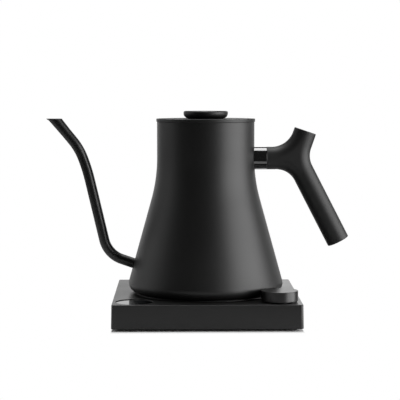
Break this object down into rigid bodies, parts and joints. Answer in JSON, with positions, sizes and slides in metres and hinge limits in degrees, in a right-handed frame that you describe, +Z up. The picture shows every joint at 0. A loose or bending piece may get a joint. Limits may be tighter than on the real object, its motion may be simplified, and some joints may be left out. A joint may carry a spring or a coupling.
{
  "type": "electric kettle",
  "caption": "Gooseneck electric kettle with a conical body, Y-shaped handle and lift-out lid, on a square heating base with a round display and a dial.",
  "frame": {"origin": "centre of the base's foot plane, under the connector's axis", "axes": "+Z up, +X towards the handle, -X towards the spout, -Y towards the side with the display and the dial"},
  "size_m": [0.2901, 0.1764, 0.1983],
  "materials": {
    "black_coating": "fine matte powder coat",
    "black_housing": "satin moulded",
    "black_dial": "satin moulded",
    "black_plastic": "satin moulded",
    "handle_plastic": "soft matte moulded",
    "black_gloss_collar": "glossy black",
    "display_glass": "clear gloss over black",
    "stainless_steel": "satin",
    "zinc_steel": "zinc plated",
    "black_steel": "black oxide",
    "aluminium": "cast",
    "contact_brass": "bright",
    "rubber": "matte",
    "clear_silicone": "satin",
    "grey_silicone": "satin",
    "board": "solder mask",
    "blue_component": "gloss",
    "yellow_tape": "gloss",
    "white_nylon": "satin",
    "lead_insulation": "satin",
    "display_face": "gloss"
  },
  "bodies": {
    "base": {"base_housing": "black_housing", "base_cover": "black_plastic", "base_foot": "rubber", "base_screws": "zinc_steel", "base_tower": "black_plastic", "tower_contacts": "contact_brass", "tower_screws": "zinc_steel", "display_lens": "display_glass", "display_panel": "display_face", "display_board": "board", "encoder_body": "zinc_steel", "encoder_board": "board", "power_board": "board", "power_relay": "blue_component", "step_down_transformer": "yellow_tape", "filter_capacitor": "blue_component", "mains_terminal": "white_nylon", "cord_gland": "rubber", "hold_switch": "black_plastic", "base_wires": "lead_insulation"},
    "connector": {"vessel_socket": "black_plastic", "socket_contacts": "contact_brass"},
    "kettle": {"vessel_shell": "black_coating", "vessel_floor": "stainless_steel", "heat_spreader": "aluminium", "heater_tube": "stainless_steel", "heater_terminals": "stainless_steel", "heater_leads": "lead_insulation", "temperature_probe": "stainless_steel", "probe_seal": "clear_silicone", "thermal_cutout": "zinc_steel", "vessel_cover": "black_plastic", "vessel_cover_screws": "stainless_steel", "screw_brackets": "stainless_steel", "spout": "black_coating", "handle_collar": "black_gloss_collar", "handle_tang": "stainless_steel", "handle_grip": "handle_plastic", "stub_cap": "handle_plastic", "grip_cap": "handle_plastic", "counterweight": "black_steel", "set_screw": "black_steel"},
    "lid": {"lid_plate": "black_coating", "lid_core": "black_plastic", "lid_gasket": "grey_silicone", "lid_knob": "black_coating", "lid_screw": "stainless_steel", "lid_washer": "stainless_steel"},
    "dial_plunger": {"encoder_plunger": "white_nylon"},
    "dial": {"dial_knob": "black_dial", "encoder_shaft": "aluminium"},
    "hold_button": {"hold_slider": "black_plastic"}
  },
  "joints": [
    {"name": "kettle_lift", "type": "slide", "parent": "base", "child": "connector", "axis": [0, 0, 1], "range_m": [0, 0.15]},
    {"name": "kettle_swivel", "type": "hinge", "parent": "connector", "child": "kettle", "pos_m": [0, 0, 0.03], "axis": [0, 0, 1], "continuous": true},
    {"name": "lid_lift", "type": "slide", "parent": "kettle", "child": "lid", "axis": [0, 0, 1], "range_m": [0, 0.12]},
    {"name": "dial_press", "type": "slide", "parent": "base", "child": "dial_plunger", "axis": [0, 0, 1], "range_m": [-0.0006, 0], "stiffness_N_per_m": 1500, "springref_m": 0.001},
    {"name": "dial_turn", "type": "hinge", "parent": "dial_plunger", "child": "dial", "pos_m": [0.0668, -0.066, 0.03], "axis": [0, 0, 1], "continuous": true},
    {"name": "hold_slide", "type": "slide", "parent": "base", "child": "hold_button", "axis": [1, 0, 0], "range_m": [0, 0.004]}
  ]
}
